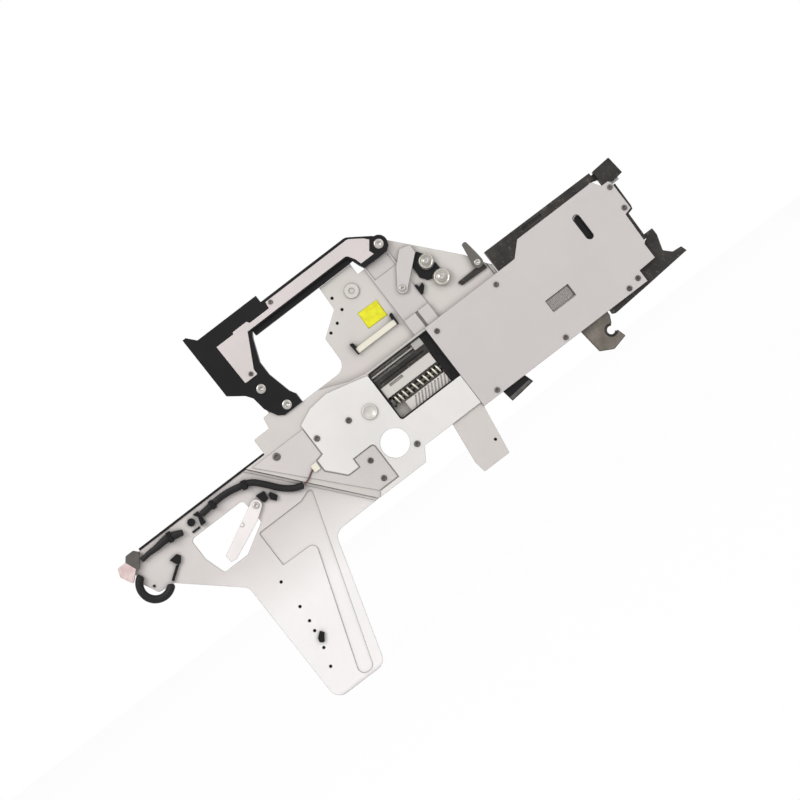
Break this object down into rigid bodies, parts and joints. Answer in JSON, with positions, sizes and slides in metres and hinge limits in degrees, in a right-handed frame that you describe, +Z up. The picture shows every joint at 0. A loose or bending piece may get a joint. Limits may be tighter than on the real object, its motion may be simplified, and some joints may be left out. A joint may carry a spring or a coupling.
{
  "type": "smt tape feeder",
  "caption": "Electric component tape feeder: narrow milled frame with carrying handle, reel leg, hinged tape guide, sprocket drive and a spring-loaded clamp hook under the nose.",
  "frame": {"origin": "middle of the base face that rests in the machine's feeder slot, at mid thickness", "axes": "+X to the pick-up end, +Z up when the feeder is in the machine, +Y away from the side with the covers"},
  "size_m": [0.6469, 0.022, 0.379],
  "materials": {
    "frame_aluminium": "satin anodised",
    "leg_aluminium": "satin, near white",
    "cover_grey": "satin light grey",
    "hub_white": "satin near white",
    "inset_grey": "satin grey",
    "handle_black": "fine grained black",
    "handle_plate": "brushed",
    "cast_dark": "black oxide, mottled",
    "hook_bronze": "bronze grey, worn edges",
    "steel": "turned",
    "spring_steel": "polished wire",
    "black_plastic": "moulded",
    "grey_plastic": "moulded",
    "white_plastic": "moulded",
    "plug_pink": "moulded",
    "cable_black": "matte",
    "lead_brown": "satin",
    "gear_plastic": "moulded",
    "brass": "machined",
    "board_green": "solder mask",
    "roller_steel": "ground"
  },
  "bodies": {
    "frame": {"main_frame": "frame_aluminium", "rear_plate": "leg_aluminium", "front_cover": "cover_grey", "hub_cover": "hub_white", "inset_plate": "inset_grey", "back_cover": "cover_grey", "stub_leg": "frame_aluminium", "top_strip": "black_plastic", "nose_strip": "cast_dark", "front_block": "cast_dark", "front_claw": "cast_dark", "base_rail": "cast_dark", "base_connector": "black_plastic", "guide_pin": "steel", "handle_body": "handle_black", "handle_plate": "handle_plate", "trigger_pin": "steel", "handle_screws": "steel", "hook_pin": "steel", "return_spring": "spring_steel", "guide_rod": "steel", "window_rail": "cast_dark", "spring_plate": "frame_aluminium", "ribbed_plate": "frame_aluminium", "window_clip": "black_plastic", "upper_bracket": "cover_grey", "link_screw": "steel", "roller_bracket": "black_plastic", "finger_screw": "steel", "drive_motor": "steel", "gear_shafts": "steel", "control_board": "board_green", "light_bar": "white_plastic", "light_clips": "black_plastic", "arm_screw": "steel", "arm_sensor": "black_plastic", "harness_sleeve": "cable_black", "cable_loop": "cable_black", "cable_ties": "black_plastic", "rear_plug": "plug_pink", "plug_housing": "grey_plastic", "signal_lead": "lead_brown", "lead_socket": "white_plastic", "thumb_screw": "steel", "cover_screws": "steel", "leg_fitting": "black_plastic"},
    "trigger": {"release_trigger": "handle_black"},
    "hook": {"clamp_hook": "hook_bronze"},
    "rod": {"pull_rod": "steel"},
    "guide": {"tape_guide": "cast_dark"},
    "link": {"link_lever": "cover_grey"},
    "upper_roll": {"upper_roller": "roller_steel"},
    "lower_roll": {"lower_roller": "roller_steel"},
    "finger": {"finger_lever": "steel", "latch_rod": "cast_dark"},
    "arm": {"sensing_arm": "leg_aluminium"},
    "tape_drive": {"sprocket": "steel", "sprocket_gear": "gear_plastic"},
    "idler": {"idler_gear": "gear_plastic"},
    "pinion": {"motor_pinion": "brass"}
  },
  "joints": [
    {"name": "trigger_squeeze", "type": "hinge", "parent": "frame", "child": "trigger", "pos_m": [-0.062, 0, 0.1925], "axis": [0, 1, 0], "range_deg": [0, 2.5], "stiffness_Nm_per_rad": 1.5},
    {"name": "hook_release", "type": "hinge", "parent": "frame", "child": "hook", "pos_m": [0.062, 0, 0.013], "axis": [0, 1, 0], "range_deg": [0, 10.2]},
    {"name": "rod_travel", "type": "slide", "parent": "frame", "child": "rod", "axis": [1, 0, 0], "range_m": [0, 0.0031], "deforming": ["return_spring"]},
    {"name": "guide_lift", "type": "hinge", "parent": "frame", "child": "guide", "pos_m": [0.163, 0, 0.111], "axis": [0, 1, 0], "range_deg": [0, 35]},
    {"name": "link_swing", "type": "hinge", "parent": "frame", "child": "link", "pos_m": [-0.07, 0, 0.143], "axis": [0, -1, 0], "range_deg": [0, 12], "stiffness_Nm_per_rad": 0.05},
    {"name": "upper_roller_spin", "type": "hinge", "parent": "frame", "child": "upper_roll", "pos_m": [-0.035, 0, 0.15], "axis": [0, 1, 0], "continuous": true},
    {"name": "lower_roller_spin", "type": "hinge", "parent": "frame", "child": "lower_roll", "pos_m": [-0.032, 0, 0.128], "axis": [0, 1, 0], "continuous": true},
    {"name": "finger_turn", "type": "hinge", "parent": "frame", "child": "finger", "pos_m": [0.005, 0, 0.118], "axis": [0, -1, 0], "range_deg": [0, 12]},
    {"name": "arm_swing", "type": "hinge", "parent": "frame", "child": "arm", "pos_m": [-0.318, 0, 0.06], "axis": [0, 1, 0], "range_deg": [0, 20]},
    {"name": "sprocket_spin", "type": "hinge", "parent": "frame", "child": "tape_drive", "pos_m": [0.115, 0, 0.0868], "axis": [0, 1, 0], "continuous": true},
    {"name": "idler_spin", "type": "hinge", "parent": "frame", "child": "idler", "pos_m": [0.07929, 0, 0.0738], "axis": [0, 1, 0], "continuous": true},
    {"name": "pinion_spin", "type": "hinge", "parent": "frame", "child": "pinion", "pos_m": [0.05566, 0, 0.06964], "axis": [0, 1, 0], "continuous": true}
  ],
  "couplings": [
    {"joint": "hook_release", "follows": "trigger_squeeze", "ratio": 4},
    {"joint": "rod_travel", "follows": "trigger_squeeze", "m_per_rad": 0.06766},
    {"joint": "idler_spin", "follows": "sprocket_spin", "ratio": -1.1111},
    {"joint": "pinion_spin", "follows": "sprocket_spin", "ratio": 3.3333}
  ]
}
